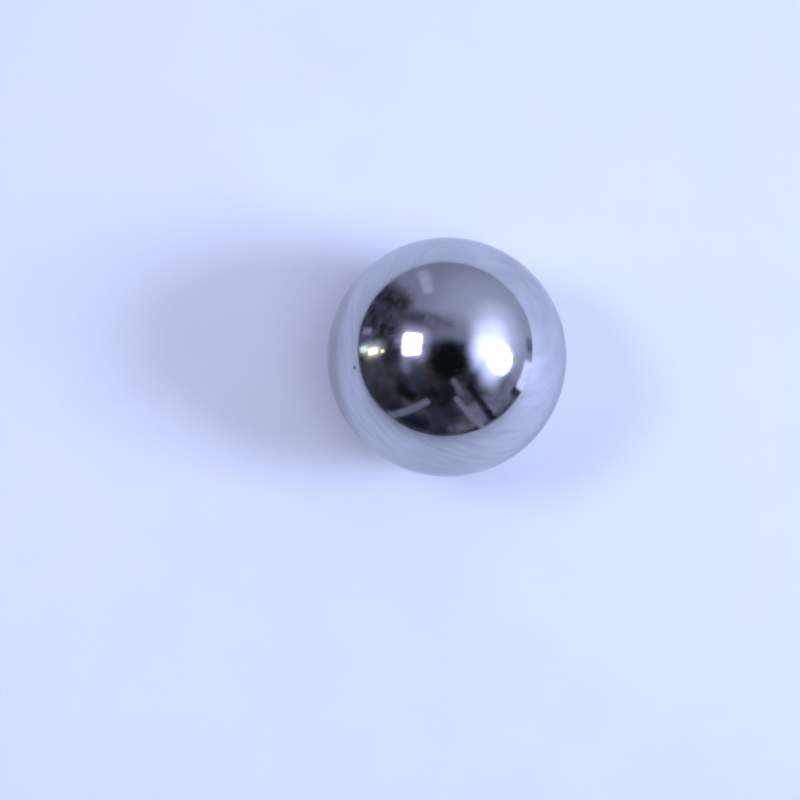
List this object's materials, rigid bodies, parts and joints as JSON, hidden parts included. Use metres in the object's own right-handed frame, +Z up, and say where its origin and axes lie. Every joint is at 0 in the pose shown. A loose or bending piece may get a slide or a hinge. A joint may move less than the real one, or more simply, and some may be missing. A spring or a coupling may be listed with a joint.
{
  "type": "steel ball",
  "caption": "Solid polished steel ball: a plain mirror-bright sphere that rolls freely, or sits in a cup, ring or socket as a weight, pivot or bearing ball.",
  "frame": {"origin": "centre of the ball", "axes": "+Z up; every axis through the centre is a symmetry axis"},
  "size_m": [0.0254, 0.0254, 0.0254],
  "materials": {
    "polished_steel": "mirror polished"
  },
  "bodies": {
    "root": {"ball": "polished_steel"}
  },
  "joints": []
}
